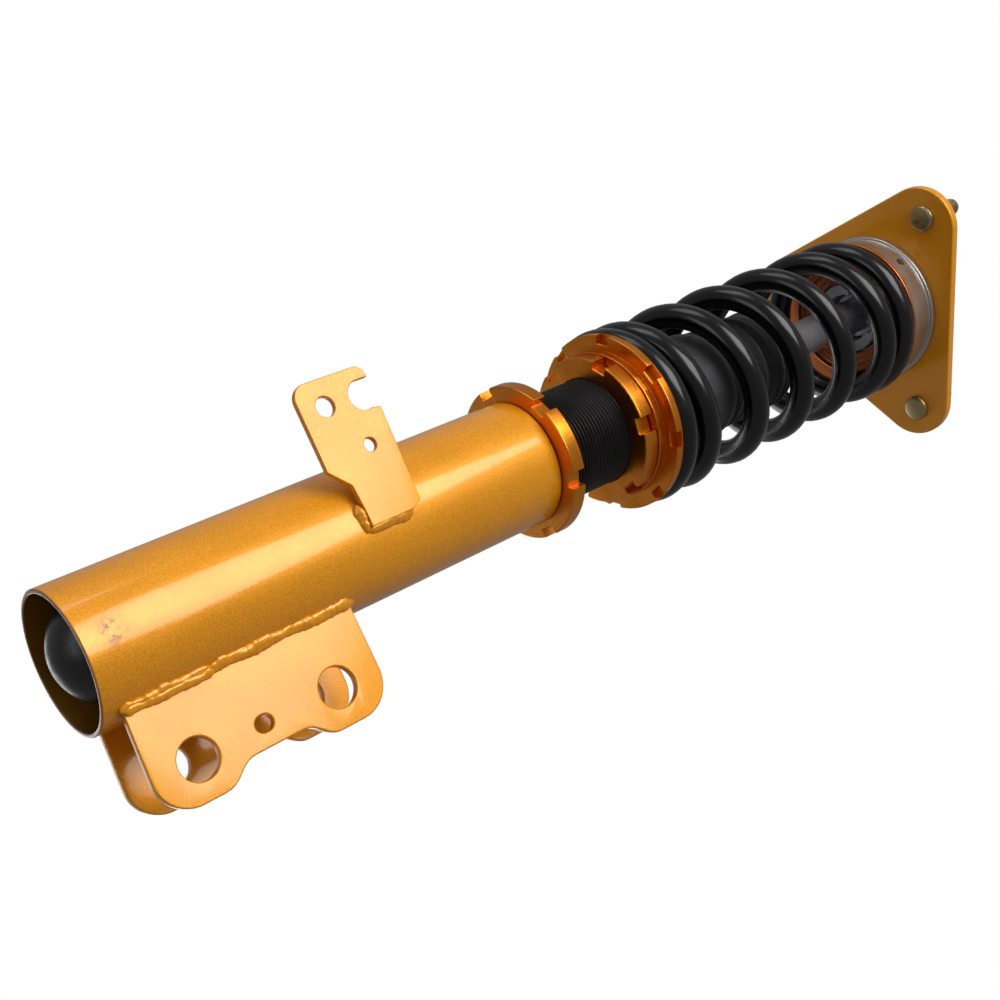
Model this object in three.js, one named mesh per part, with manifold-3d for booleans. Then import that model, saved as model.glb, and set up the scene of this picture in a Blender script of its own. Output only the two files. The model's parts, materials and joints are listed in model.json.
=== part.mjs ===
// Coilover strut: a threaded damper in a bracket tube, with its spring, rings and top mount.
// Millimetres, +Z up along the strut, origin at the middle of the top plate's upper face.

import * as THREE from 'three';
import { mergeVertices } from 'three/addons/utils/BufferGeometryUtils.js';
import Module from 'manifold-3d';

// Driving dimensions.
const BASE = -526;                 // height of the bracket tube's open lower end
const TUBE_R = 30;                 // bracket tube, outside
const TUBE_BORE_R = 28;
const TUBE_THREAD_R = 26.75;       // female thread at the top of the bracket tube
const TUBE_L = 232;
const TUBE_THREAD_L = 42;
const BODY_R = 26.6;               // threaded damper tube, outside
const BODY_BORE_R = 23;
const BODY_START = 15;             // heights above the bracket tube's open end
const BODY_END = 345;
const DOME_R = 22.8;               // base cap
const DOME_Z = 19.5;
const RING_BORE_R = 26.75;
const LOCK_RING_R = 37.5;
const LOCK_RING_Z = 232.3;
const LOCK_RING_T = 7.7;
const PERCH_LOCK_R = 37;
const PERCH_LOCK_Z = 281.6;
const PERCH_LOCK_T = 8.4;
const RING_NOTCHES = 6;
const RING_NOTCH_W = 8;
const RING_NOTCH_DEPTH = 4;
const PERCH_R = 45;
const PERCH_BOSS_Z = 290.4;
const PERCH_FLANGE_Z = 294.5;
const PERCH_TOP_Z = 298.8;
const PERCH_SPIGOT_Z = 306;
const PERCH_SPIGOT_R = 32.6;
const PERCH_NOTCHES = 8;
const PERCH_NOTCH_W = 7.6;
const PERCH_NOTCH_DEPTH = 4.5;
const PERCH_FIRST_NOTCH = -16;     // degrees
const SPRING_R = 39.7;             // mean coil radius
const WIRE_R = 6.4;
const SPRING_LOW_Z = 299;          // ground faces of the spring
const SPRING_HIGH_Z = 497.5;
const DEAD_RISE = 13.1;            // rise per turn of a closed end coil
const LIVE_RISE = 37.9;            // rise per turn of the open coils
const ROD_R = 10;
const ROD_TIP_R = 7;
const STUD_CIRCLE_R = 65;
const STUD_R = 5;
const STUD_ANGLES = [90, 210, 330];
const PLATE_T = 5;
const PLATE_CORNER_CIRCLE_R = 58.5;
const PLATE_CORNER_R = 22.5;
const PLATE_HOLE_R = 21;
const HOUSING_R = 41;
const HOUSING_RIM_R = 42.8;
const KNUCKLE_X = 17.5;            // outer face of each knuckle plate, from the strut axis
const KNUCKLE_T = 4;
const KNUCKLE_HOLE_R = 8.5;
const GAP = 0.15;                  // between parts that touch in the real object

const wasm = await Module();
wasm.setup();

const coilover = new THREE.Group();
coilover.name = 'coilover';

const paint = { color: 0xd8921f, roughness: 0.35, metalness: 0.45 };
const orange = { color: 0xe0861c, roughness: 0.3, metalness: 0.9 };
const copper = { color: 0xb5652a, roughness: 0.35, metalness: 0.9 };
const blackThread = { color: 0x1b1b1e, roughness: 0.45, metalness: 0.6 };
const blackGloss = { color: 0x111114, roughness: 0.25, metalness: 0.2 };
const rubber = { color: 0x18181a, roughness: 0.75, metalness: 0 };
const steel = { color: 0x9a9a9e, roughness: 0.35, metalness: 0.9 };
const chrome = { color: 0xb8babf, roughness: 0.12, metalness: 1 };
const zinc = { color: 0x8f8560, roughness: 0.4, metalness: 0.85 };
const zincGrey = { color: 0x84848a, roughness: 0.45, metalness: 0.5 };
const capGrey = { color: 0x3a3d42, roughness: 0.5, metalness: 0.4 };

function radians(degrees) {
  return degrees * Math.PI / 180;
}

// Adds one named sub-part.
function add(name, geometry, look) {
  const mesh = new THREE.Mesh(geometry, new THREE.MeshStandardMaterial(look));
  mesh.name = name;
  coilover.add(mesh);
  return mesh;
}

// Turns a closed profile of [radius, height] points about +Z.
function turned(points, segments = 36) {
  const profile = points.map(([r, z]) => new THREE.Vector2(r, z));
  profile.push(profile[0].clone());
  const geometry = new THREE.LatheGeometry(profile, segments);
  geometry.rotateX(Math.PI / 2);
  return geometry;
}

// Turns a profile that starts and ends on the axis.
function turnedSolid(points, segments = 24) {
  const profile = points.map(([r, z]) => new THREE.Vector2(r, z));
  const geometry = new THREE.LatheGeometry(profile, segments);
  geometry.rotateX(Math.PI / 2);
  return geometry;
}

// A straight-sided tube or ring with small chamfers on its four edges.
function ring(inner, outer, low, high, chamfer = 0.4, segments = 36) {
  return turned([
    [inner + chamfer, low],
    [outer - chamfer, low],
    [outer, low + chamfer],
    [outer, high - chamfer],
    [outer - chamfer, high],
    [inner + chamfer, high],
    [inner, high - chamfer],
    [inner, low + chamfer],
  ], segments);
}

function toManifold(geometry) {
  const bare = geometry.clone();
  bare.deleteAttribute('normal');
  bare.deleteAttribute('uv');
  const merged = mergeVertices(bare, 1e-4);
  const corners = merged.index.array;
  const kept = [];
  for (let i = 0; i < corners.length; i += 3) {
    const [a, b, c] = [corners[i], corners[i + 1], corners[i + 2]];
    if (a !== b && b !== c && c !== a) {
      kept.push(a, b, c);
    }
  }
  const mesh = new wasm.Mesh({
    numProp: 3,
    vertProperties: new Float32Array(merged.attributes.position.array),
    triVerts: new Uint32Array(kept),
  });
  return new wasm.Manifold(mesh);
}

function toGeometry(manifold) {
  const mesh = manifold.getMesh();
  const geometry = new THREE.BufferGeometry();
  geometry.setAttribute('position', new THREE.BufferAttribute(mesh.vertProperties, 3));
  geometry.setIndex(new THREE.BufferAttribute(mesh.triVerts, 1));
  geometry.computeVertexNormals();
  return geometry;
}

// Cuts every tool out of a body.
function cut(body, tools) {
  let result = toManifold(body);
  for (const tool of tools) {
    result = result.subtract(toManifold(tool));
  }
  return toGeometry(result);
}

// A box whose near face is `start` from the axis, turned to `degrees` about +Z.
function radialBox(start, depth, width, low, high, degrees) {
  const box = new THREE.BoxGeometry(depth, width, high - low);
  box.translate(start + depth / 2, 0, (low + high) / 2);
  box.rotateZ(radians(degrees));
  return box;
}

function uprightCylinder(radius, low, high, x = 0, y = 0, segments = 32) {
  const cylinder = new THREE.CylinderGeometry(radius, radius, high - low, segments);
  cylinder.rotateX(Math.PI / 2);
  cylinder.translate(x, y, (low + high) / 2);
  return cylinder;
}

// A ring with square notches around its rim.
function notchedRing(inner, outer, low, high, count, width, depth, firstDegrees) {
  const notches = [];
  for (let i = 0; i < count; i += 1) {
    const angle = firstDegrees + i * 360 / count;
    notches.push(radialBox(outer - depth, depth + 5, width, low - 1, high + 1, angle));
  }
  return cut(ring(inner, outer, low, high, 0.7), notches);
}

// A flat plate drawn with x as the strut's Y and y as the height, `thickness` thick along X.
function sidePlate(shape, xLow, thickness, bevel = 0.4) {
  const geometry = new THREE.ExtrudeGeometry(shape, {
    depth: thickness - 2 * bevel,
    bevelEnabled: true,
    bevelThickness: bevel,
    bevelSize: bevel,
    bevelOffset: -bevel,
    bevelSegments: 1,
    curveSegments: 6,
  });
  geometry.translate(0, 0, bevel);
  geometry.applyMatrix4(new THREE.Matrix4().set(
    0, 0, 1, xLow,
    1, 0, 0, 0,
    0, 1, 0, BASE,
    0, 0, 0, 1,
  ));
  return geometry;
}

function roundHole(shape, x, y, radius) {
  const hole = new THREE.Path();
  hole.absarc(x, y, radius, 0, 2 * Math.PI, true);
  shape.holes.push(hole);
}

// Bracket tube, open at the bottom, with the female thread at its top.
add('bracket_tube', turned([
  [TUBE_BORE_R, BASE],
  [TUBE_R, BASE],
  [TUBE_R, BASE + TUBE_L],
  [TUBE_THREAD_R, BASE + TUBE_L],
  [TUBE_THREAD_R, BASE + TUBE_L - TUBE_THREAD_L],
  [TUBE_BORE_R, BASE + TUBE_L - TUBE_THREAD_L - 1],
]), paint);

// Knuckle plates: two lobes round the bolt holes with a shallow waist between them.
function knuckleShape() {
  const low = 6.4;
  const high = 111.2;
  const root = 21;
  const lobe = 69.2;
  const waist = 61.8;
  const corner = 15;
  const shape = new THREE.Shape();
  shape.moveTo(root, high);
  shape.lineTo(root, low + 1.4);
  shape.absarc(lobe - corner, low + corner, corner, -Math.PI / 2, 0, false);
  shape.lineTo(lobe, 31);
  shape.bezierCurveTo(lobe, 39, waist, 40, waist, 48);
  shape.lineTo(waist, 69);
  shape.bezierCurveTo(waist, 77, lobe, 77, lobe, 85);
  shape.absarc(lobe - corner, high - corner, corner, 0, Math.PI / 2, false);
  roundHole(shape, 53.2, 26.3, KNUCKLE_HOLE_R);
  roundHole(shape, 53.2, 90.4, KNUCKLE_HOLE_R);
  const slot = new THREE.Path();
  slot.absarc(52.6, 56.4, 3.4, Math.PI, 0, true);
  slot.absarc(52.6, 55.2, 3.4, 0, -Math.PI, true);
  shape.holes.push(slot);
  return shape;
}

const tubeTool = uprightCylinder(TUBE_R + GAP, BASE - 5, BASE + TUBE_L + 5, 0, 0, 36);

add('knuckle_plate_right', cut(
  sidePlate(knuckleShape(), KNUCKLE_X - KNUCKLE_T, KNUCKLE_T), [tubeTool]), paint);
add('knuckle_plate_left', cut(
  sidePlate(knuckleShape(), -KNUCKLE_X, KNUCKLE_T), [tubeTool]), paint);

// Brake-line bracket: a flat plate with an open hook and two holes, foot on the tube.
function brakeLineShape() {
  const shape = new THREE.Shape();
  shape.moveTo(0.8, 126.9);
  shape.lineTo(0.8, 148);
  shape.lineTo(-1.6, 153.4);
  shape.lineTo(-43.8, 154.6);
  shape.absarc(-50.9, 148.6, 6.6, 0.34, Math.PI - 0.1, true);
  shape.lineTo(-57.4, 154.2);
  shape.bezierCurveTo(-60.4, 154.8, -63.3, 152.6, -63.3, 149.2);
  shape.absarc(-56.3, 125, 7, Math.PI, 1.5 * Math.PI, false);
  shape.lineTo(-26.2, 118);
  shape.lineTo(-17.7, 126);
  shape.lineTo(-5, 126.9);
  roundHole(shape, -51.4, 130, 4.4);
  roundHole(shape, -30.5, 142.1, 3);
  return shape;
}

add('brake_line_bracket', sidePlate(brakeLineShape(), TUBE_R + GAP, 3, 0.3), paint);

// Link tab: a round-ended ear with one hole, standing on the side away from the bracket.
function linkTabShape() {
  const reach = 47.2;
  const height = 210;
  const radius = 16;
  const shape = new THREE.Shape();
  shape.moveTo(25, height + radius + 1);
  shape.lineTo(25, height - radius - 1);
  shape.absarc(reach, height, radius, -Math.PI / 2, Math.PI / 2, false);
  roundHole(shape, reach, height, 6);
  return shape;
}

const tab = sidePlate(linkTabShape(), -2.5, 5);
tab.rotateZ(Math.PI / 2);
add('link_tab', cut(tab, [tubeTool]), paint);

// Rings on the thread.
add('lower_lock_ring', notchedRing(RING_BORE_R, LOCK_RING_R, BASE + LOCK_RING_Z,
  BASE + LOCK_RING_Z + LOCK_RING_T, RING_NOTCHES, RING_NOTCH_W, RING_NOTCH_DEPTH, -30), orange);
add('perch_lock_ring', notchedRing(RING_BORE_R, PERCH_LOCK_R, BASE + PERCH_LOCK_Z,
  BASE + PERCH_LOCK_Z + PERCH_LOCK_T, RING_NOTCHES, RING_NOTCH_W, RING_NOTCH_DEPTH, 14), orange);

// Spring perch: a boss, a notched flange and a spigot inside the spring.
function perchGeometry() {
  const body = turned([
    [RING_BORE_R + 0.6, BASE + PERCH_BOSS_Z],
    [PERCH_LOCK_R - 0.6, BASE + PERCH_BOSS_Z],
    [PERCH_LOCK_R, BASE + PERCH_BOSS_Z + 0.6],
    [PERCH_LOCK_R, BASE + PERCH_FLANGE_Z - 1.5],
    [PERCH_LOCK_R + 1.5, BASE + PERCH_FLANGE_Z],
    [PERCH_R - 0.6, BASE + PERCH_FLANGE_Z],
    [PERCH_R, BASE + PERCH_FLANGE_Z + 0.6],
    [PERCH_R, BASE + PERCH_TOP_Z - 0.5],
    [PERCH_R - 0.5, BASE + PERCH_TOP_Z],
    [PERCH_SPIGOT_R, BASE + PERCH_TOP_Z],
    [PERCH_SPIGOT_R, BASE + PERCH_SPIGOT_Z - 1],
    [PERCH_SPIGOT_R - 1, BASE + PERCH_SPIGOT_Z],
    [RING_BORE_R, BASE + PERCH_SPIGOT_Z],
    [RING_BORE_R, BASE + PERCH_BOSS_Z + 0.6],
  ]);
  const notches = [];
  for (let i = 0; i < PERCH_NOTCHES; i += 1) {
    const angle = PERCH_FIRST_NOTCH + i * 360 / PERCH_NOTCHES;
    notches.push(radialBox(PERCH_R - PERCH_NOTCH_DEPTH, 10, PERCH_NOTCH_W,
      BASE + PERCH_FLANGE_Z - 3, BASE + PERCH_TOP_Z - 1, angle));
  }
  return cut(body, notches);
}

add('spring_perch', perchGeometry(), orange);

// Angles round the spring, in degrees from +X, where its parts begin and end.
const START_DEGREES = -120;
const END_DEGREES = 2280;
const LOW_JOIN = 333;              // where the closed end coil gives way to the open ones
const HIGH_JOIN = 1894;
const FIRST_WIRE_Z = 304.9;        // height of the wire's middle at 0 degrees
const LAST_WIRE_Z = 494.4;         // and a turn past HIGH_JOIN

// Height of the wire's middle at an angle, before the joins are smoothed.
function wireHeight(degrees) {
  const lowJoin = FIRST_WIRE_Z + DEAD_RISE * LOW_JOIN / 360;
  const highJoin = lowJoin + LIVE_RISE * (HIGH_JOIN - LOW_JOIN) / 360;
  if (degrees < LOW_JOIN) {
    return FIRST_WIRE_Z + DEAD_RISE * degrees / 360;
  }
  if (degrees < HIGH_JOIN) {
    return lowJoin + LIVE_RISE * (degrees - LOW_JOIN) / 360;
  }
  return highJoin + (LAST_WIRE_Z - highJoin) * (degrees - HIGH_JOIN) / 360;
}

class SpringPath extends THREE.Curve {
  getPoint(t, target = new THREE.Vector3()) {
    const degrees = START_DEGREES + t * (END_DEGREES - START_DEGREES);
    const around = radians(degrees);
    const smoothing = 40;
    const height = (wireHeight(degrees - smoothing) + wireHeight(degrees)
      + wireHeight(degrees + smoothing)) / 3;
    return target.set(SPRING_R * Math.cos(around), SPRING_R * Math.sin(around), BASE + height);
  }
}

function springGeometry() {
  const wire = new THREE.Shape();
  wire.absarc(0, 0, WIRE_R, 0, 2 * Math.PI, false);
  const geometry = new THREE.ExtrudeGeometry(wire, {
    steps: 120,
    curveSegments: 4,
    bevelEnabled: false,
    extrudePath: new SpringPath(),
  });
  const position = geometry.attributes.position;
  for (let i = 0; i < position.count; i += 1) {
    const z = position.getZ(i);
    position.setZ(i, Math.min(Math.max(z, BASE + SPRING_LOW_Z), BASE + SPRING_HIGH_Z));
  }
  geometry.computeVertexNormals();
  return geometry;
}

add('main_spring', springGeometry(), blackGloss);

// Damper: threaded tube, base cap, rod guide and seal.
add('damper_tube', ring(BODY_BORE_R, BODY_R, BASE + BODY_START, BASE + BODY_END, 0.8), blackThread);

// Base cap: a dome that reaches just past the bracket tube's open end.
function baseCapGeometry() {
  const steps = 8;
  const outline = [];
  for (let i = 0; i <= steps; i += 1) {
    const around = Math.PI / 2 * i / steps;
    outline.push([DOME_R * Math.sin(around), BASE + DOME_Z - DOME_R * Math.cos(around)]);
  }
  outline.push([BODY_BORE_R - GAP, BASE + DOME_Z + 0.5]);
  outline.push([BODY_BORE_R - GAP, BASE + DOME_Z + 10]);
  outline.push([0, BASE + DOME_Z + 10]);
  return turnedSolid(outline);
}

add('base_cap', baseCapGeometry(), capGrey);
add('rod_guide', ring(ROD_R + 0.1, BODY_BORE_R - GAP, BASE + 320, BASE + 340, 0.4, 32), steel);
add('rod_seal', ring(ROD_R + 0.1, 17, BASE + 340.3, BASE + 344.5, 0.3, 32), rubber);

// Dust boot: a smooth cuff over the damper's top, then bellows round the bare rod.
function bootGeometry() {
  const ribs = 6;
  const ribPitch = 8;
  const firstRib = 364;
  const wall = 1.2;
  const outer = [
    [BODY_R + 0.3, 330],
    [28.2, 330],
    [28.6, 331],
    [28.6, 356],
    [28.1, 359.5],
    [26.2, 362],
    [24.4, 363],
  ];
  for (let i = 0; i < ribs; i += 1) {
    const z = firstRib + i * ribPitch;
    outer.push([23.4, z], [27, z + ribPitch / 2]);
  }
  const top = firstRib + ribs * ribPitch;
  outer.push([23.4, top], [22, top + 1.4], [ROD_R + 0.8, top + 1.8]);
  const inner = [
    [ROD_R + 0.8, top],
    [23.4 - wall, top - 1.2],
    [23.4 - wall, 359],
    [BODY_R + 0.3, 354],
  ];
  return turned(outer.concat(inner).map(([r, z]) => [r, BASE + z]), 24);
}

add('dust_boot', bootGeometry(), rubber);

// Piston rod with its threaded tip, and the piston at the rod's lower end.
const SHOULDER = -21.2;            // rod shoulder, under the bearing ball
const PISTON_LOW = 282;
const PISTON_HIGH = 298;
add('piston_rod', turnedSolid([
  [0, BASE + PISTON_LOW - 3],
  [ROD_TIP_R - 0.5, BASE + PISTON_LOW - 3],
  [ROD_TIP_R, BASE + PISTON_LOW - 2],
  [ROD_TIP_R, BASE + PISTON_HIGH],
  [ROD_R, BASE + PISTON_HIGH + 0.5],
  [ROD_R, SHOULDER],
  [ROD_TIP_R, SHOULDER],
  [ROD_TIP_R, 19],
  [ROD_TIP_R - 1, 20],
  [0, 20],
]), chrome);
add('piston', ring(ROD_TIP_R + 0.1, BODY_BORE_R - GAP, BASE + PISTON_LOW, BASE + PISTON_HIGH,
  0.6, 32), steel);

// Upper spring seat: a flange over the spring and a hollow spigot inside it.
const SEAT_LOW = -28.2;
const SEAT_TOP = -26.4;
const SEAT_SPIGOT = -33.6;
const SEAT_R = 43.8;
add('upper_spring_seat', turned([
  [21.4, SEAT_TOP],
  [21.4, SEAT_LOW - 0.2],
  [24.4, SEAT_LOW - 0.2],
  [24.4, SEAT_LOW - 2.2],
  [27, SEAT_LOW - 2.2],
  [28.4, SEAT_SPIGOT],
  [31.4, SEAT_SPIGOT],
  [32.4, SEAT_SPIGOT + 1.2],
  [32.4, SEAT_LOW],
  [SEAT_R - 0.5, SEAT_LOW],
  [SEAT_R, SEAT_LOW + 0.5],
  [SEAT_R, SEAT_TOP - 0.5],
  [SEAT_R - 0.5, SEAT_TOP],
]), copper);

// Top mount: plate, bearing housing and bearing.
function plateShape() {
  const shape = new THREE.Shape();
  STUD_ANGLES.forEach((degrees, i) => {
    const middle = radians(degrees);
    const x = PLATE_CORNER_CIRCLE_R * Math.cos(middle);
    const y = PLATE_CORNER_CIRCLE_R * Math.sin(middle);
    const start = middle - Math.PI / 3;
    if (i === 0) {
      shape.moveTo(x + PLATE_CORNER_R * Math.cos(start), y + PLATE_CORNER_R * Math.sin(start));
    }
    shape.absarc(x, y, PLATE_CORNER_R, start, middle + Math.PI / 3, false);
  });
  roundHole(shape, 0, 0, PLATE_HOLE_R);
  for (const degrees of STUD_ANGLES) {
    const x = STUD_CIRCLE_R * Math.cos(radians(degrees));
    const y = STUD_CIRCLE_R * Math.sin(radians(degrees));
    roundHole(shape, x, y, STUD_R + 0.1);
  }
  return shape;
}

const plate = new THREE.ExtrudeGeometry(plateShape(), {
  depth: PLATE_T - 1,
  bevelEnabled: true,
  bevelThickness: 0.5,
  bevelSize: 0.5,
  bevelOffset: -0.5,
  bevelSegments: 1,
  curveSegments: 8,
});
plate.translate(0, 0, -PLATE_T + 0.5);
add('top_plate', plate, paint);

const HOUSING_LOW = -24.4;
const HOUSING_RIM_LOW = -8.8;
const HOUSING_BORE_R = 20.2;
const HOUSING_LIP_R = 17.5;        // lip that holds the bearing race from above
const HOUSING_LIP_LOW = -7.2;
const SCREW_Z = -14;
const SCREW_R = 2.2;
const SCREW_ANGLES = [-23, 97, 217];

function acrossHousing(radius, start, end, degrees, segments) {
  const cylinder = new THREE.CylinderGeometry(radius, radius, end - start, segments);
  cylinder.rotateZ(Math.PI / 2);
  cylinder.translate((start + end) / 2, 0, SCREW_Z);
  cylinder.rotateZ(radians(degrees));
  return cylinder;
}

const housingBody = turned([
  [HOUSING_BORE_R, HOUSING_LOW],
  [HOUSING_R - 0.6, HOUSING_LOW],
  [HOUSING_R, HOUSING_LOW + 0.6],
  [HOUSING_R, HOUSING_RIM_LOW],
  [HOUSING_RIM_R - 0.5, HOUSING_RIM_LOW],
  [HOUSING_RIM_R, HOUSING_RIM_LOW + 0.5],
  [HOUSING_RIM_R, -PLATE_T - GAP],
  [HOUSING_LIP_R, -PLATE_T - GAP],
  [HOUSING_LIP_R, HOUSING_LIP_LOW],
  [HOUSING_BORE_R, HOUSING_LIP_LOW],
]);
add('bearing_housing', cut(housingBody,
  SCREW_ANGLES.map((degrees) => acrossHousing(SCREW_R + 0.1, 32, 45, degrees, 16))), steel);

SCREW_ANGLES.forEach((degrees, i) => {
  add(`housing_screw_${i + 1}`, acrossHousing(SCREW_R, 33, 40.2, degrees, 16), steel);
});

add('thrust_bearing', ring(24, 38, SEAT_TOP + GAP, HOUSING_LOW - GAP, 0.3), steel);

// Spherical bearing round the rod's tip.
const BEARING_Z = -13.2;
const BALL_R = 15;
const BALL_HALF = 7.6;             // half of the ball's height between its flats
const RACE_R = 20;
const RACE_HALF = 5.8;

// Arc of a sphere about the bearing's middle, from `low` to `high` height.
function sphereArc(radius, low, high, steps) {
  const points = [];
  for (let i = 0; i <= steps; i += 1) {
    const z = low + (high - low) * i / steps;
    points.push([Math.sqrt(radius * radius - z * z), BEARING_Z + z]);
  }
  return points;
}

add('bearing_race', turned([
  [RACE_R, BEARING_Z + RACE_HALF],
  ...sphereArc(BALL_R + 0.2, -RACE_HALF, RACE_HALF, 6).reverse(),
  [RACE_R, BEARING_Z - RACE_HALF],
], 32), steel);
add('bearing_ball', turned([
  [ROD_TIP_R + 0.1, BEARING_Z - BALL_HALF],
  ...sphereArc(BALL_R, -BALL_HALF, BALL_HALF, 8),
  [ROD_TIP_R + 0.1, BEARING_Z + BALL_HALF],
], 32), chrome);

// Retainer under the race: a ring with half-round recesses for a pin spanner in its bore.
function retainerGeometry() {
  const bore = 14;
  const low = -30;
  const high = BEARING_Z - RACE_HALF - 0.4;
  const recessR = 3;
  const recesses = [45, 135, 225, 315].map((degrees) => uprightCylinder(recessR,
    low - 2, low + 4, (bore + 0.6) * Math.cos(radians(degrees)),
    (bore + 0.6) * Math.sin(radians(degrees)), 16));
  return cut(ring(bore, RACE_R, low, high, 0.5, 32), recesses);
}

add('bearing_retainer', retainerGeometry(), zincGrey);

const ROD_NUT_ACROSS = 22;         // across flats
const STUD_NUT_ACROSS = 16;

// A hexagon nut with a plain bore.
function nutGeometry(across, bore, low, high, x, y) {
  const hexagon = new THREE.CylinderGeometry(across / Math.sqrt(3), across / Math.sqrt(3),
    high - low, 6);
  hexagon.rotateX(Math.PI / 2);
  hexagon.translate(x, y, (low + high) / 2);
  return cut(hexagon, [uprightCylinder(bore, low - 1, high + 1, x, y, 32)]);
}

add('rod_nut', nutGeometry(ROD_NUT_ACROSS, ROD_TIP_R + 0.1, -5.4, 6.6, 0, 0), zinc);

// Studs: round heads under the plate, threaded ends above it.
const HEAD_R = 7.2;
const HEAD_LOW = -PLATE_T - 2.8;
STUD_ANGLES.forEach((degrees, i) => {
  const x = STUD_CIRCLE_R * Math.cos(radians(degrees));
  const y = STUD_CIRCLE_R * Math.sin(radians(degrees));
  const stud = turnedSolid([
    [0, HEAD_LOW],
    [HEAD_R - 1.2, HEAD_LOW],
    [HEAD_R, HEAD_LOW + 1],
    [HEAD_R, -PLATE_T - GAP],
    [STUD_R, -PLATE_T - GAP],
    [STUD_R, 25],
    [STUD_R - 1, 26],
    [0, 26],
  ], 20);
  const mesh = add(`top_stud_${i + 1}`, stud, zinc);
  mesh.position.set(x, y, 0);
  const nut = add(`stud_nut_${i + 1}`, nutGeometry(STUD_NUT_ACROSS, STUD_R + 0.1, GAP, 8.4, 0, 0), steel);
  nut.position.set(x, y, 0);
});

export default coilover;
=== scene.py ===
"""Looks of the coilover strut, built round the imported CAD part. Lengths are in millimetres here
and turned into metres when a mesh is made. Z is the strut's axis, the origin the top plate's face."""

import json
import math

import bpy
import bmesh
import numpy as np
from mathutils import Matrix, Vector, geometry, noise


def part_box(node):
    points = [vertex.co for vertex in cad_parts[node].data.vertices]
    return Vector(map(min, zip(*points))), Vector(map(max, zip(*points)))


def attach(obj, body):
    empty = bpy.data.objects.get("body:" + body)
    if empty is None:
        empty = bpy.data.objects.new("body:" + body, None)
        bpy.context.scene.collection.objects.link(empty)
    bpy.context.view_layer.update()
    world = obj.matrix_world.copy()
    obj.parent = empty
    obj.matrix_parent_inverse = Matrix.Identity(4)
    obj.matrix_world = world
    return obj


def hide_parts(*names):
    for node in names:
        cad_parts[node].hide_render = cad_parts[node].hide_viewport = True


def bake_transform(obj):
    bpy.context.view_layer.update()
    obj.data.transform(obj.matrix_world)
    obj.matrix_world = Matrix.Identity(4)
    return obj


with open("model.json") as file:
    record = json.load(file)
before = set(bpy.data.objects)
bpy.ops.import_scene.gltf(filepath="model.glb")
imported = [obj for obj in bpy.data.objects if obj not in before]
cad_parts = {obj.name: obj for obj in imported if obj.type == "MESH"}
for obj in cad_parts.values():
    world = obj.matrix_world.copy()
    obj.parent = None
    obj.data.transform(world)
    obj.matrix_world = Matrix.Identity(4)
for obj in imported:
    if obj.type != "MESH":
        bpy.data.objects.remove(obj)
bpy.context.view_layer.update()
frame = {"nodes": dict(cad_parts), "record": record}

MM = 0.001
TAU = 2 * math.pi
WELD_STEP = 0.7
NOISE_SEED = 1                     # noise_vector follows the clock unless this is set


def span(node):
    """Lowest and highest height of a CAD node, in millimetres."""
    low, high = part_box(node)
    return low.z / MM, high.z / MM


def reach(node):
    """Largest X of a CAD node, in millimetres: the radius of a turned part."""
    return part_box(node)[1].x / MM


MOUTH = span("bracket_tube")[0]
SCUFF_PLACE = (0.0298, -0.003, -0.5134)    # metres
SCUFF_RADIUS = 0.009
TUBE_R = 30                        # bracket tube, outside
RING_BORE = 26.7
PLATE_T = 5                        # top plate
STUD_CIRCLE = 65
STUD_THREAD = 4.95                 # crest radius
SCREW_HEIGHT = -14
SCREW_ANGLES = (-23, 97, 217)
BEARING_HEIGHT = -13.2
BALL_R, BALL_HALF, RACE_HALF = 15, 7.6, 5.8
ROD_SHOULDER = -21.2


# ---------------------------------------------------------------- materials


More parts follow.
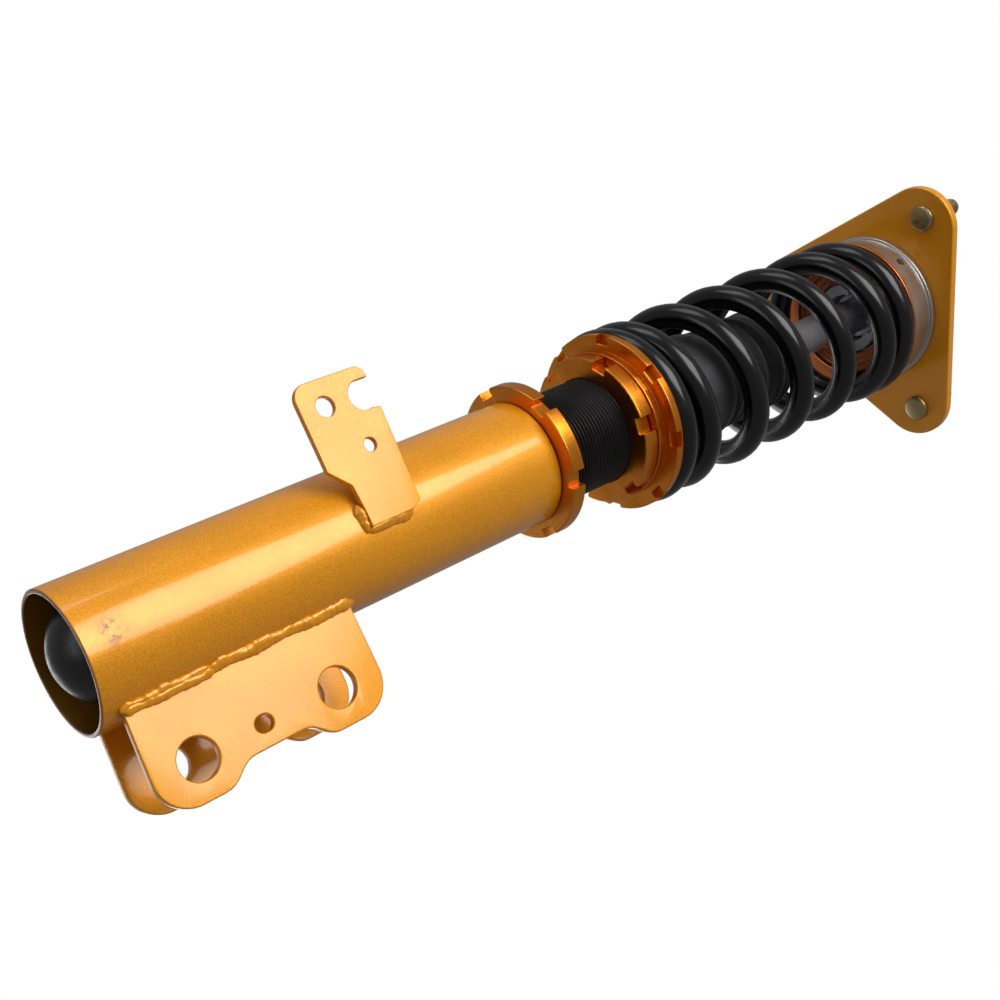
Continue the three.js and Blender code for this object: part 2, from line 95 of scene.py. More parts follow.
class Shader:
    """A small helper that builds one node material."""

    def __init__(self, name):
        self.material = bpy.data.materials.new(name)
        self.material.use_nodes = True
        self.tree = self.material.node_tree
        self.surface = self.tree.nodes["Principled BSDF"]
        coordinates = self.tree.nodes.new("ShaderNodeTexCoord")
        self.place = coordinates.outputs["Object"]

    def set(self, node, socket, value):
        """Links a socket to a node output, or gives it a plain value."""
        target = node.inputs[socket]
        if isinstance(value, bpy.types.NodeSocket):
            self.tree.links.new(value, target)
        else:
            target.default_value = value

    def noise(self, scale, detail=3.0, roughness=0.55, place=None):
        """Noise from 0 to 1 over the object; `scale` is in features a metre."""
        node = self.tree.nodes.new("ShaderNodeTexNoise")
        self.set(node, "Vector", place or self.place)
        self.set(node, "Scale", scale)
        self.set(node, "Detail", detail)
        self.set(node, "Roughness", roughness)
        return node.outputs["Fac"]

    def range(self, value, low, high, to_low=0.0, to_high=1.0):
        """Eases a value from one range into another, held at both ends."""
        node = self.tree.nodes.new("ShaderNodeMapRange")
        node.interpolation_type = "SMOOTHSTEP"
        for socket, number in (("Value", value), ("From Min", low), ("From Max", high),
                               ("To Min", to_low), ("To Max", to_high)):
            self.set(node, socket, number)
        return node.outputs["Result"]

    def math(self, operation, first, second=0.0):
        """One arithmetic step on two values."""
        node = self.tree.nodes.new("ShaderNodeMath")
        node.operation = operation
        self.set(node, 0, first)
        self.set(node, 1, second)
        return node.outputs[0]

    def mix(self, factor, first, second, blend="MIX"):
        """The first colour at factor 0, the second blended over it at factor 1."""
        node = self.tree.nodes.new("ShaderNodeMix")
        node.data_type = "RGBA"
        node.blend_type = blend
        self.set(node, 0, factor)
        self.set(node, 6, first)
        self.set(node, 7, second)
        return node.outputs[2]

    def axis(self, name):
        """One coordinate of the point, in metres."""
        node = self.tree.nodes.new("ShaderNodeSeparateXYZ")
        self.set(node, "Vector", self.place)
        return node.outputs[name]

    def from_axis(self):
        """Distance of the point from the strut's axis, in metres."""
        flat = self.tree.nodes.new("ShaderNodeVectorMath")
        flat.operation = "MULTIPLY"
        self.set(flat, 0, self.place)
        flat.inputs[1].default_value = (1, 1, 0)
        length = self.tree.nodes.new("ShaderNodeVectorMath")
        length.operation = "LENGTH"
        self.set(length, 0, flat.outputs[0])
        return length.outputs["Value"]

    def patch(self, centre, radius):
        """1 at a place on the strut, falling to 0 at `radius` metres from it."""
        apart = self.tree.nodes.new("ShaderNodeVectorMath")
        apart.operation = "DISTANCE"
        self.set(apart, 0, self.place)
        apart.inputs[1].default_value = centre
        return self.range(apart.outputs["Value"], 0.0, radius, 1.0, 0.0)

    def turning(self, scale):
        """Fine lines as a lathe leaves them: along the radius on faces, along Z on rims."""
        along = self.math("ADD", self.from_axis(), self.axis("Z"))
        lines = self.tree.nodes.new("ShaderNodeTexNoise")
        lines.noise_dimensions = "1D"
        self.set(lines, "W", along)
        self.set(lines, "Scale", scale)
        self.set(lines, "Detail", 3.0)
        return lines.outputs["Fac"]

    def bump(self, height, strength, distance, below=None):
        """A normal raised by `height`, on top of another bump if one is given."""
        node = self.tree.nodes.new("ShaderNodeBump")
        self.set(node, "Height", height)
        self.set(node, "Strength", strength)
        self.set(node, "Distance", distance)
        if below is not None:
            self.set(node, "Normal", below)
        return node.outputs["Normal"]

    def finish(self, colour, roughness, normal, metallic, **sockets):
        """Fills the surface's sockets and gives back the material."""
        self.set(self.surface, "Base Color", colour)
        self.set(self.surface, "Roughness", roughness)
        self.set(self.surface, "Normal", normal)
        self.set(self.surface, "Metallic", metallic)
        for name, value in sockets.items():
            self.set(self.surface, name.replace("_", " "), value)
        return self.material


def colour(red, green, blue):
    """A colour as seen on a screen, 0 to 255, turned into the linear values of a shader."""
    def linear(value):
        value /= 255
        return value / 12.92 if value <= 0.04045 else ((value + 0.055) / 1.055) ** 2.4
    return linear(red), linear(green), linear(blue), 1.0


def gold_paint():
    """Metallic gold paint: fine flake, orange peel, specks, and scuffs near the open end."""
    s = Shader("gold_paint")
    base = s.mix(s.noise(18.0), colour(221, 141, 6), colour(231, 152, 12))
    flake = s.range(s.noise(2000.0, 1.0), 0.35, 0.65, 0.83, 1.13)
    base = s.mix(1.0, base, flake, "MULTIPLY")
    # painted glints: pale flecks put into the colour where the metallic flake would catch the light
    painted_glint = s.range(s.noise(1500.0, 1.0), 0.71, 0.75)
    base = s.mix(s.math("MULTIPLY", painted_glint, 0.5), base, colour(255, 212, 120))
    specks = s.range(s.noise(700.0, 2.0), 0.735, 0.76)
    base = s.mix(s.math("MULTIPLY", specks, 0.6), base, colour(96, 62, 24))
    height = s.axis("Z")
    near_mouth = s.range(height, (MOUTH + 3) * MM, (MOUTH + 52) * MM, 1.0, 0.0)
    smear = s.range(s.noise(160.0, 7.0, 0.8), 0.52, 0.66)
    rubbed = s.range(s.noise(34.0, 2.0), 0.56, 0.68)
    scuff = s.math("MULTIPLY", s.math("MULTIPLY", near_mouth, smear), rubbed)
    chips = s.range(s.noise(420.0, 5.0, 0.7), 0.44, 0.6)
    scuff = s.math("MAXIMUM", scuff, s.math("MULTIPLY", chips, s.patch(SCUFF_PLACE, SCUFF_RADIUS)))
    base = s.mix(s.math("MULTIPLY", scuff, 0.8), base, colour(104, 60, 24))
    # painted shade: the inside of the tube, within its bore, is given a darker gold
    hollow = s.math("MULTIPLY", s.range(s.from_axis(), 0.0284, 0.0290, 1.0, 0.0),
                    s.range(height, -0.296, -0.294, 1.0, 0.0))
    base = s.mix(s.math("MULTIPLY", hollow, 0.75), base, colour(84, 58, 14))
    rim = s.range(height, (MOUTH + 0.25) * MM, (MOUTH + 0.9) * MM, 1.0, 0.0)
    base = s.mix(s.math("MULTIPLY", rim, 0.7), base, colour(132, 84, 34))
    rough = s.range(s.noise(40.0), 0.3, 0.7, 0.36, 0.46)
    rough = s.math("ADD", rough, s.math("MULTIPLY", scuff, 0.25))
    peel = s.bump(s.noise(330.0, 2.0), 0.18, 0.0004)
    normal = s.bump(s.noise(2600.0, 1.0), 0.12, 0.00008, peel)
    return s.finish(base, rough, normal, 0.28, Coat_Weight=0.7, Coat_Roughness=0.12,
                    Specular_IOR_Level=0.25)


def turned_metal(name, first, second, rough_low, rough_high, line_scale, line_depth, grain=0.1,
                 metallic=1.0):
    """Metal off the lathe, plain or anodised: turning lines, slow colour drift, fine grain."""
    s = Shader(name)
    base = s.mix(s.range(s.noise(14.0, 2.0), 0.3, 0.7), first, second)
    lines = s.turning(line_scale)
    shade = s.range(lines, 0.3, 0.7, 1.0 - grain, 1.0 + grain)
    base = s.mix(1.0, base, shade, "MULTIPLY")
    rough = s.range(s.math("ADD", lines, s.noise(70.0, 2.0)), 0.7, 1.3, rough_low, rough_high)
    scratches = s.bump(s.noise(2400.0, 2.0), 0.06, 0.00003)
    normal = s.bump(lines, line_depth, 0.00003, scratches)
    return s.finish(base, rough, normal, metallic)


def black_thread():
    """Black thread, with the black worn off in small spots."""
    s = Shader("black_thread")
    base = s.mix(s.noise(120.0, 5.0), colour(20, 19, 20), colour(38, 36, 37))
    worn = s.range(s.noise(420.0, 4.0), 0.66, 0.74)
    base = s.mix(s.math("MULTIPLY", worn, 0.5), base, colour(96, 88, 82))
    rough = s.range(s.noise(300.0, 4.0), 0.3, 0.7, 0.28, 0.44)
    return s.finish(base, rough, s.bump(s.noise(1500.0, 3.0), 0.15, 0.00008), 0.55)


def black_spring():
    """Gloss powder coat over steel wire."""
    s = Shader("black_spring")
    base = s.mix(s.noise(60.0, 4.0), colour(7, 7, 9), colour(14, 13, 16))
    dust = s.range(s.noise(620.0, 3.0), 0.7, 0.76)
    base = s.mix(s.math("MULTIPLY", dust, 0.3), base, colour(52, 50, 54))
    rough = s.range(s.noise(90.0, 5.0), 0.3, 0.7, 0.2, 0.3)
    peel = s.bump(s.noise(260.0, 2.0), 0.16, 0.0004)
    return s.finish(base, rough, peel, 0.0, Coat_Weight=0.25, Coat_Roughness=0.09,
                    Specular_IOR_Level=0.28)


def black_rubber():
    """Matte rubber with a pale bloom."""
    s = Shader("black_rubber")
    base = s.mix(s.noise(70.0, 6.0), colour(22, 22, 24), colour(44, 43, 45))
    bloom = s.range(s.noise(26.0, 5.0), 0.5, 0.8)
    base = s.mix(s.math("MULTIPLY", bloom, 0.35), base, colour(82, 80, 84))
    rough = s.range(s.noise(210.0, 5.0), 0.3, 0.7, 0.5, 0.68)
    normal = s.bump(s.noise(1300.0, 5.0), 0.25, 0.00012)
    return s.finish(base, rough, normal, 0.0, Sheen_Weight=0.08, Sheen_Roughness=0.5)


def yellow_zinc():
    """Yellow zinc plating: olive to rose tints and a fine frosted surface."""
    s = Shader("yellow_zinc")
    tint = s.range(s.noise(190.0, 3.0), 0.38, 0.62)
    base = s.mix(tint, colour(150, 142, 104), colour(172, 146, 92))
    base = s.mix(s.range(s.noise(330.0, 2.0), 0.5, 0.7), base, colour(138, 118, 104))
    rough = s.range(s.noise(600.0, 4.0), 0.3, 0.7, 0.3, 0.46)
    return s.finish(base, rough, s.bump(s.noise(1200.0, 4.0), 0.3, 0.0001), 0.9)


def cap_grey():
    """Dark cap with a soft sheen, a little dusty."""
    s = Shader("cap_grey")
    base = s.mix(s.noise(90.0, 5.0), colour(22, 22, 24), colour(40, 40, 44))
    dust = s.range(s.noise(700.0, 4.0), 0.64, 0.76)
    base = s.mix(s.math("MULTIPLY", dust, 0.4), base, colour(92, 92, 96))
    rough = s.range(s.noise(260.0, 5.0), 0.3, 0.7, 0.3, 0.44)
    return s.finish(base, rough, s.bump(s.noise(1100.0, 4.0), 0.2, 0.0001), 0.2)


def zinc_grey():
    """Dull zinc: a soft grey that is half scattered and half mirrored, with a faint bloom."""
    s = Shader("zinc_grey")
    base = s.mix(s.noise(120.0, 4.0), colour(176, 178, 182), colour(200, 201, 204))
    bloom = s.range(s.noise(420.0, 4.0), 0.55, 0.75)
    base = s.mix(s.math("MULTIPLY", bloom, 0.5), base, colour(216, 216, 214))
    rough = s.range(s.noise(500.0, 4.0), 0.3, 0.7, 0.36, 0.52)
    return s.finish(base, rough, s.bump(s.noise(1400.0, 4.0), 0.25, 0.0001), 0.3)


LOOKS = {
    "gold_paint": gold_paint(),
    "orange_anodised": turned_metal("orange_anodised", colour(214, 126, 34),
                                    colour(232, 148, 48), 0.22, 0.36, 5200.0, 0.22, 0.12, 0.97),
    "copper_anodised": turned_metal("copper_anodised", colour(190, 108, 60),
                                    colour(208, 124, 72), 0.24, 0.4, 5200.0, 0.25, 0.1, 0.94),
    "black_thread": black_thread(),
    "black_spring": black_spring(),
    "black_rubber": black_rubber(),
    "machined_steel": turned_metal("machined_steel", colour(176, 170, 164),
                                   colour(196, 192, 188), 0.24, 0.38, 4200.0, 0.3, 0.06, 0.92),
    "zinc_grey": zinc_grey(),
    "rod_chrome": turned_metal("rod_chrome", colour(214, 214, 220),
                               colour(230, 230, 236), 0.2, 0.3, 7000.0, 0.08, 0.03, 0.85),
    "yellow_zinc": yellow_zinc(),
    "cap_grey": cap_grey(),
}

for row in frame["record"]["subparts"]:
    node_mesh = frame["nodes"][row["node"]].data
    node_mesh.materials.clear()
    node_mesh.materials.append(LOOKS[row["material_slot"]])


# ---------------------------------------------------------------- mesh helpers


def add_piece(name, points, faces, slot, body, replaces=(), sharp=38.0):
    """Makes an object from points in millimetres, gives it its body, and gives it the material named
    by its slot.
    """
    mesh = bpy.data.meshes.new(name)
    mesh.from_pydata([Vector(p) * MM for p in points], [], faces)
    mesh.validate()
    fix = bmesh.new()
    fix.from_mesh(mesh)
    bmesh.ops.recalc_face_normals(fix, faces=fix.faces)
    fix.to_mesh(mesh)
    fix.free()
    mesh.polygons.foreach_set("use_smooth", [True] * len(mesh.polygons))
    mesh.set_sharp_from_angle(angle=math.radians(sharp))
    piece = bpy.data.objects.new(name, mesh)
    bpy.context.scene.collection.objects.link(piece)
    mesh.materials.append(LOOKS[slot])
    if body:
        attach(piece, body)
    if replaces:
        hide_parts(*replaces)
    return piece


def weighted(piece):
    """Keeps broad flat faces flat to the eye beside their rounded edges."""
    modifier = piece.modifiers.new("weighted", "WEIGHTED_NORMAL")
    modifier.keep_sharp = True
    return piece


def fillet(corners, steps=3):
    """Rounds the corners of a closed outline. Each corner is (x, y) or (x, y, radius)."""
    result = []
    count = len(corners)
    for i, corner in enumerate(corners):
        radius = corner[2] if len(corner) > 2 else 0
        here = Vector(corner[:2])
        if not radius:
            result.append(here)
            continue
        before = Vector(corners[i - 1][:2]) - here
        after = Vector(corners[(i + 1) % count][:2]) - here
        angle = before.angle(after)
        length = min(radius / math.tan(angle / 2), before.length * 0.49, after.length * 0.49)
        start = here + before.normalized() * length
        end = here + after.normalized() * length
        for k in range(steps + 1):
            t = k / steps
            result.append(start * (1 - t) ** 2 + here * (2 * t * (1 - t)) + end * t ** 2)
    return [(p.x, p.y) for p in result]


def ring_faces(rows, count, closed):
    """Quads between rows of `count` points that go once round; rows close up if `closed`."""
    faces = []
    last = rows if closed else rows - 1
    for j in range(last):
        k = (j + 1) % rows
        for i in range(count):
            n = (i + 1) % count
            faces.append((j * count + i, j * count + n, k * count + n, k * count + i))
    return faces


def ring_points(radius, height, count, at):
    """`count` points on a level circle round a vertical axis at `at`."""
    return [(at[0] + radius * math.cos(TAU * i / count),
             at[1] + radius * math.sin(TAU * i / count), height) for i in range(count)]


def lathe(name, corners, slot, body, replaces=(), count=96, at=(0, 0), steps=3):
    """Turns a closed outline of (radius, height, fillet) about a vertical axis at `at`."""
    outline = fillet(corners, steps)
    points = []
    for radius, height in outline:
        points += ring_points(radius, height, count, at)
    faces = ring_faces(len(outline), count, True)
    return weighted(add_piece(name, points, faces, slot, body, replaces))


def lathe_solid(name, corners, slot, body, replaces=(), count=96, at=(0, 0), steps=3):
    """Turns an open outline whose first and last corners lie on the axis."""
    outline = fillet(corners, steps)
    middle = outline[1:-1]
    points = []
    for radius, height in middle:
        points += ring_points(radius, height, count, at)
    faces = ring_faces(len(middle), count, False)
    for pole, row in ((outline[0], 0), (outline[-1], len(middle) - 1)):
        points.append((at[0], at[1], pole[1]))
        for i in range(count):
            faces.append((row * count + i, row * count + (i + 1) % count, len(points) - 1))
    return weighted(add_piece(name, points, faces, slot, body, replaces))


def notched(name, full, cut, first, notches, width, depth, slot, body, replaces, gap_steps=14):
    """A turned ring with parallel-sided notches. `full` and `cut` are the outlines between the
    notches and inside them, with the same number of corners."""
    full = np.array(fillet(full))
    cut = np.array(fillet(cut))
    edge = 0.45
    half = width / 2
    stations = [
        (half + edge, 0),
        (half + edge * 0.3, edge * 0.3 / depth),
        (half, edge / depth),
        (half, 1 - edge / depth),
        (half - edge * 0.3, 1 - edge * 0.3 / depth),
        (half - edge, 1),
    ]
    walls = [(-h, b) for h, b in stations] + [(h, b) for h, b in reversed(stations)]
    columns = []
    for k in range(notches):
        centre = math.radians(first) + TAU * k / notches
        following = math.radians(first) + TAU * (k + 1) / notches
        for h, b in walls:
            outline = full * (1 - b) + cut * b
            columns.append([(centre + math.asin(h / r), r, z) for r, z in outline])
        for j in range(1, gap_steps):
            t = j / gap_steps
            columns.append([
                ((centre + math.asin(walls[-1][0] / r)) * (1 - t)
                 + (following + math.asin(walls[0][0] / r)) * t, r, z) for r, z in full])
    points = [(r * math.cos(a), r * math.sin(a), z) for column in columns for a, r, z in column]
    faces = ring_faces(len(columns), len(full), True)
    return weighted(add_piece(name, points, faces, slot, body, replaces))


def threaded(name, below, above, crest, root, pitch, low, high, slot, body, replaces=(),
             count=48, at=(0, 0), hollow=False):
    """A bar or tube with a real helical thread between `low` and `high`. `below` and `above`
    are the (radius, height) rows that carry on from it to the axis, or to the bore."""
    phases = [(0.0, root), (0.12, root), (0.5, crest), (0.68, crest)]
    m = len(phases)
    turns = int((high - low) / pitch) - 1
    rows = m * turns
    points, faces = [], []

    def row_of(radius, height):
        """Adds a level row and gives the number of its first point."""
        points.extend(ring_points(radius, height, count, at))
        return len(points) - count

    def join(a, b):
        """Quads between two level rows."""
        for i in range(count):
            n = (i + 1) % count
            faces.append((a + i, a + n, b + n, b + i))

    def cell(i, k):
        """Number of a point of the thread: `i` round, `k` rows up."""
        return grid + k * count + i

    below_rows = [row_of(r, z) for r, z in below]
    grid = len(points)
    for k in range(rows + 1):
        phase, radius = phases[k % m]
        for i in range(count):
            angle = TAU * i / count
            height = low + pitch * (k // m + phase + i / count)
            points.append((at[0] + radius * math.cos(angle),
                           at[1] + radius * math.sin(angle), height))
    above_rows = [row_of(r, z) for r, z in above]
    for k in range(rows):
        for i in range(count - 1):
            faces.append((cell(i, k), cell(i + 1, k), cell(i + 1, k + 1), cell(i, k + 1)))
        if k + m < rows:
            faces.append((cell(count - 1, k), cell(0, k + m),
                          cell(0, k + m + 1), cell(count - 1, k + 1)))
    last, first = below_rows[-1], above_rows[0]
    for i in range(count - 1):
        faces.append((last + i, last + i + 1, cell(i + 1, 0), cell(i, 0)))
        faces.append((cell(i, rows), cell(i + 1, rows), first + i + 1, first + i))
    faces.append([last + count - 1, last] + [cell(0, k) for k in range(m + 1)]
                 + [cell(count - 1, 0)])
    faces.append([cell(count - 1, rows - m), cell(0, rows), first, first + count - 1]
                 + [cell(count - 1, rows - k) for k in range(m)])
    for group in (below_rows, above_rows):
        for a, b in zip(group, group[1:]):
            join(a, b)
    if hollow:
        join(above_rows[-1], below_rows[0])
    else:
        faces.append([below_rows[0] + i for i in range(count)])
        faces.append([above_rows[-1] + i for i in range(count)])
    return add_piece(name, points, faces, slot, body, replaces, sharp=50)


def loop_offset(loop, distance):
    """Moves a closed loop of 2-D points to its left by `distance`."""
    moved = []
    count = len(loop)
    for i in range(count):
        before = Vector(loop[i]) - Vector(loop[i - 1])
        after = Vector(loop[(i + 1) % count]) - Vector(loop[i])
        a = Vector((-before.y, before.x)).normalized()
        b = Vector((-after.y, after.x)).normalized()
        middle = (a + b).normalized()
        moved.append(Vector(loop[i]) + middle * distance / max(middle.dot(a), 0.5))
    return [(p.x, p.y) for p in moved]


def area(loop):
    """Area inside a closed loop, positive if it runs anticlockwise."""
    return sum(a[0] * b[1] - b[0] * a[1] for a, b in zip(loop, loop[1:] + loop[:1])) / 2


def tidy(loop):
    """Drops points that lie on top of their neighbour."""
    kept = [loop[0]]
    for point in loop[1:]:
        if (Vector(point) - Vector(kept[-1])).length > 0.02:
            kept.append(point)
    if (Vector(kept[0]) - Vector(kept[-1])).length < 0.02:
        kept.pop()
    return kept


def plate(name, outline, holes, thickness, bevel, place, slot, body, replaces, steps=3):
    """A flat plate with rounded edges. `place` turns (u, v, w) into the row frame."""
    loops = [tidy(outline)] + [tidy(hole) for hole in holes]
    for k, loop in enumerate(loops):
        if (area(loop) > 0) != (k == 0):
            loops[k] = loop[::-1]
    levels = []
    for k in range(steps + 1):
        turn = math.pi / 2 * k / steps
        levels.append((bevel * (1 - math.sin(turn)), bevel * (1 - math.cos(turn))))
    levels = levels + [(inset, thickness - w) for inset, w in reversed(levels)]
    points, faces, caps = [], [], [[], []]
    for loop in loops:
        count = len(loop)
        start = len(points)
        for inset, w in levels:
            for u, v in loop_offset(loop, inset):
                points.append(place(u, v, w))
        for j in range(len(levels) - 1):
            for i in range(count):
                n = (i + 1) % count
                faces.append((start + j * count + i, start + j * count + n,
                              start + (j + 1) * count + n, start + (j + 1) * count + i))
        caps[0].append((start, loop_offset(loop, levels[0][0])))
        caps[1].append((start + (len(levels) - 1) * count, loop_offset(loop, levels[-1][0])))
    for cap in caps:
        numbers = [start + i for start, loop in cap for i in range(len(loop))]
        drawn = [[Vector((u, v, 0)) for u, v in loop] for _, loop in cap]
        for a, b, c in geometry.tessellate_polygon(drawn):
            faces.append((numbers[a], numbers[b], numbers[c]))
    return weighted(add_piece(name, points, faces, slot, body, replaces))


def arc(x, y, radius, start, end, steps=14):
    """Points on an arc, with angles in degrees."""
    return [(x + radius * math.cos(math.radians(start + (end - start) * k / steps)),
             y + radius * math.sin(math.radians(start + (end - start) * k / steps)))
            for k in range(steps + 1)]


def circle(x, y, radius, steps=40):
    """Points round a full circle, without the first one repeated."""
    return arc(x, y, radius, 0, 360 - 360 / steps, steps - 1)


def bezier(a, b, c, d, steps=10):
    """Points along a cubic curve from `a` to `d`."""
    points = geometry.interpolate_bezier(*[Vector((p[0], p[1], 0)) for p in (a, b, c, d)],
                                         steps + 1)
    return [(p.x, p.y) for p in points]


def weld(name, path, size, facing, body, seed=0.0, ripple=3.2):
    """A lumpy bead along a path of 3-D points, as a hand weld leaves it: `size` is half its
    width, it is lower than it is wide, and `facing` points out of the corner it fills."""
    path = [Vector(p) for p in path]
    facing = Vector(facing)
    lengths = [0.0]
    for a, b in zip(path, path[1:]):
        lengths.append(lengths[-1] + (b - a).length)
    total = lengths[-1]
    count = max(12, int(total / WELD_STEP))
    sides = 14
    points = []
    for k in range(count + 1):
        s = total * k / count
        j = min(max(i for i, l in enumerate(lengths) if l <= s), len(path) - 2)
        t = (s - lengths[j]) / (lengths[j + 1] - lengths[j])
        here = path[j].lerp(path[j + 1], t)
        along = (path[j + 1] - path[j]).normalized()
        up = (facing - along * facing.dot(along)).normalized()
        side = along.cross(up)
        wobble = noise.noise_vector(Vector((s * 0.13, seed, 0.0)))
        here = here + wobble * size * 0.25
        swell = 1.0 + 0.4 * noise.noise(Vector((s * 0.09, seed + 5.0, 2.0)))
        taper = min(1.0, math.sqrt(max(min(s, total - s), 0.02) / (size * 1.1)))
        for i in range(sides):
            angle = TAU * i / sides
            across, out = math.cos(angle), math.sin(angle)
            crescent = s + 0.9 * across * across + 2.0 * wobble.x
            wave = abs(math.sin(math.pi * crescent / ripple))
            lump = 1 + 0.3 * noise.noise(Vector((across * 1.2, out * 1.2, s * 0.22 + seed)))
            radius = size * swell * taper * lump * (0.88 + 0.13 * wave)
            points.append(here + (side * across + up * out * 0.5) * radius)
    faces = ring_faces(count + 1, sides, False)
    faces.append(list(range(sides)))
    faces.append([count * sides + i for i in range(sides)])
    return add_piece(name, points, faces, "gold_paint", body, sharp=75)


def boolean(piece, tool_object):
    """Cuts the tool out of a piece and removes the tool."""
    modifier = piece.modifiers.new("cut", "BOOLEAN")
    modifier.operation = "DIFFERENCE"
    modifier.solver = "EXACT"
    modifier.object = tool_object
    bpy.context.view_layer.update()
    shape = bpy.data.meshes.new_from_object(
        piece.evaluated_get(bpy.context.evaluated_depsgraph_get()))
    piece.modifiers.remove(modifier)
    piece.data = shape
    bpy.data.objects.remove(tool_object)


def hexagon_nut(name, across, bore, low, high, at, turn, slot, body, replaces, flange=0.0):
    """A nut with chamfered corners, and a flange under it if one is given."""
    count = 96
    corner = across / math.sqrt(3)
    chamfer = corner - across / 2

    def hex_radius(angle):
        """Distance from the axis to the nut's flats at an angle."""
        sixth = (angle - math.radians(turn)) % (TAU / 6) - TAU / 12
        return across / 2 / math.cos(sixth)

    rows = [(bore + 0.7, low, 0), (bore, low + 0.7, 0), (bore, high - 0.7, 0),
            (bore + 0.7, high, 0)]
    outer = [(across / 2 - 0.4, high), (across / 2, high - 0.1)]
    outer += [(across / 2 + chamfer * t, high - 0.1 - chamfer * 0.75 * t)
              for t in (0.2, 0.4, 0.6, 0.8, 1.0)]
    if flange:
        outer += [(corner, low + 1.7), (flange - 0.8, low + 1.3), (flange, low + 0.8),
                  (flange, low + 0.3), (flange - 0.3, low)]
    else:
        outer += [(corner, low + chamfer * 0.75), (across / 2 + 0.1, low)]
    points = []
    total = rows + [(r, z, 1) for r, z in outer]
    for radius, height, is_outer in total:
        for i in range(count):
            angle = TAU * i / count
            limit = hex_radius(angle) if is_outer else radius
            below_hex = flange and height <= low + 1.4
            r = radius if (not is_outer or below_hex) else min(radius, limit)
            points.append((at[0] + r * math.cos(angle), at[1] + r * math.sin(angle), height))
    faces = ring_faces(len(total), count, True)
    return add_piece(name, points, faces, slot, body, replaces, sharp=25)


# ---------------------------------------------------------------- bracket


def build_bracket():
    """The open tube with its clevis plates, brake-line bracket, link tab and weld beads."""
    low, high = span("bracket_tube")
    outer = reach("bracket_tube")
    bore, thread = outer - 2, outer - 3.25
    lathe("bracket_tube_shell", [
        (bore, low, 0.5), (outer, low, 0.7), (outer, high, 0.8), (thread, high, 0.5),
        (thread, high - 42), (bore, high - 43)], "gold_paint", "bracket",
        ["bracket_tube"], count=128)

    def side(x_low):
        """Stands a plate up along the axis, with its lower X face at `x_low`."""
        return lambda u, v, w: (x_low + w, u, low + v)

    lobe, waist, corner = 69.2, 61.8, 15
    bottom, top = 6.4, 111.2
    outline = [(24.4, top - 0.4), (24.4, bottom + 1.4)]
    outline += arc(lobe - corner, bottom + corner, corner, -90, 0)
    outline += bezier((lobe, 31), (lobe, 39), (waist, 40), (waist, 48))
    outline += bezier((waist, 69), (waist, 77), (lobe, 77), (lobe, 85))
    outline += arc(lobe - corner, top - corner, corner, 0, 90)
    slot = arc(52.6, 56.4, 3.4, 0, 180) + arc(52.6, 55.2, 3.4, 180, 360)
    holes = [circle(53.2, 26.3, 8.5), circle(53.2, 90.4, 8.5), slot]
    faces = {"right": 13.5, "left": -17.5}
    for name, x_low in faces.items():
        plate(f"knuckle_plate_{name}_painted", outline, holes, 4, 0.7, side(x_low),
              "gold_paint", "bracket", [f"knuckle_plate_{name}"])

    for number, sign in enumerate((1, -1)):
        root = [(sign * 18.4, 24.8, low + z) for z in (6.4, 40, 75, 111.5)]
        weld(f"plate_weld_outer_{number + 1}", root, 2.8, (sign * 0.85, 0.5, 0), "bracket",
             seed=3.1 + number)
        root = [(sign * 18.6, 26.2, low + z) for z in (8, 30, 46)]
        weld(f"plate_weld_second_{number + 1}", root, 2.2, (sign * 0.9, 0.4, 0), "bracket",
             seed=11.7 + number, ripple=4.1)
        end = [(sign * x, math.sqrt(TUBE_R * TUBE_R - x * x) + 0.2, low + z)
               for x, z in ((18.5, 110.5), (16, 112.2), (13.2, 111))]
        weld(f"plate_weld_end_{number + 1}", end, 1.9, (sign * 0.4, 0.8, 0.4), "bracket",
             seed=6.3 + number)

    shape = [(0.8, 126.9), (0.8, 148), (-1.6, 153.4), (-43.8, 154.6)]
    shape += arc(-50.9, 148.6, 6.6, 19.5, -185.7, 26)
    shape += bezier((-57.4, 154.2), (-60.4, 154.8), (-63.3, 152.6), (-63.3, 149.2))
    shape += arc(-56.3, 125, 7, 180, 270)
    shape += [(-26.2, 118), (-17.7, 126), (-5, 126.9)]
    bracket_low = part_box("brake_line_bracket")[0].x / MM
    plate("brake_line_bracket_painted", shape, [circle(-51.4, 130, 4.4), circle(-30.5, 142.1, 3)],
          3, 0.45, side(bracket_low), "gold_paint", "bracket", ["brake_line_bracket"])
    weld("bracket_weld_foot", [(30.6, 2.2, low + z) for z in (125.5, 137, 149.5)], 2.6,
         (0.7, 0.7, 0), "bracket", seed=21.0)
    weld("bracket_weld_under", [(30.2, y, low + 125.0) for y in (2.5, -3, -10)], 2.7,
         (0.5, 0, -0.85), "bracket", seed=24.0, ripple=2.6)
    weld("bracket_weld_back", [(29.4, -4.8, low + z) for z in (127, 140, 152)], 1.9,
         (0.3, -0.95, 0), "bracket", seed=27.0)

    tab = [(25, 227), (25, 193)] + arc(47.2, 210, 16, -90, 90, 24)
    plate("link_tab_painted", tab, [circle(47.2, 210, 6)], 5, 0.7,
          lambda u, v, w: (-u, w - 2.5, low + v), "gold_paint", "bracket", ["link_tab"])
    for number, sign in enumerate((1, -1)):
        weld(f"tab_weld_{number + 1}", [(-30.2, sign * 3.3, low + z) for z in (193.5, 210, 226.5)],
             2.5, (-0.6, sign * 0.8, 0), "bracket", seed=33.0 + number)


noise.seed_set(NOISE_SEED)
build_bracket()


# ---------------------------------------------------------------- rings and perch


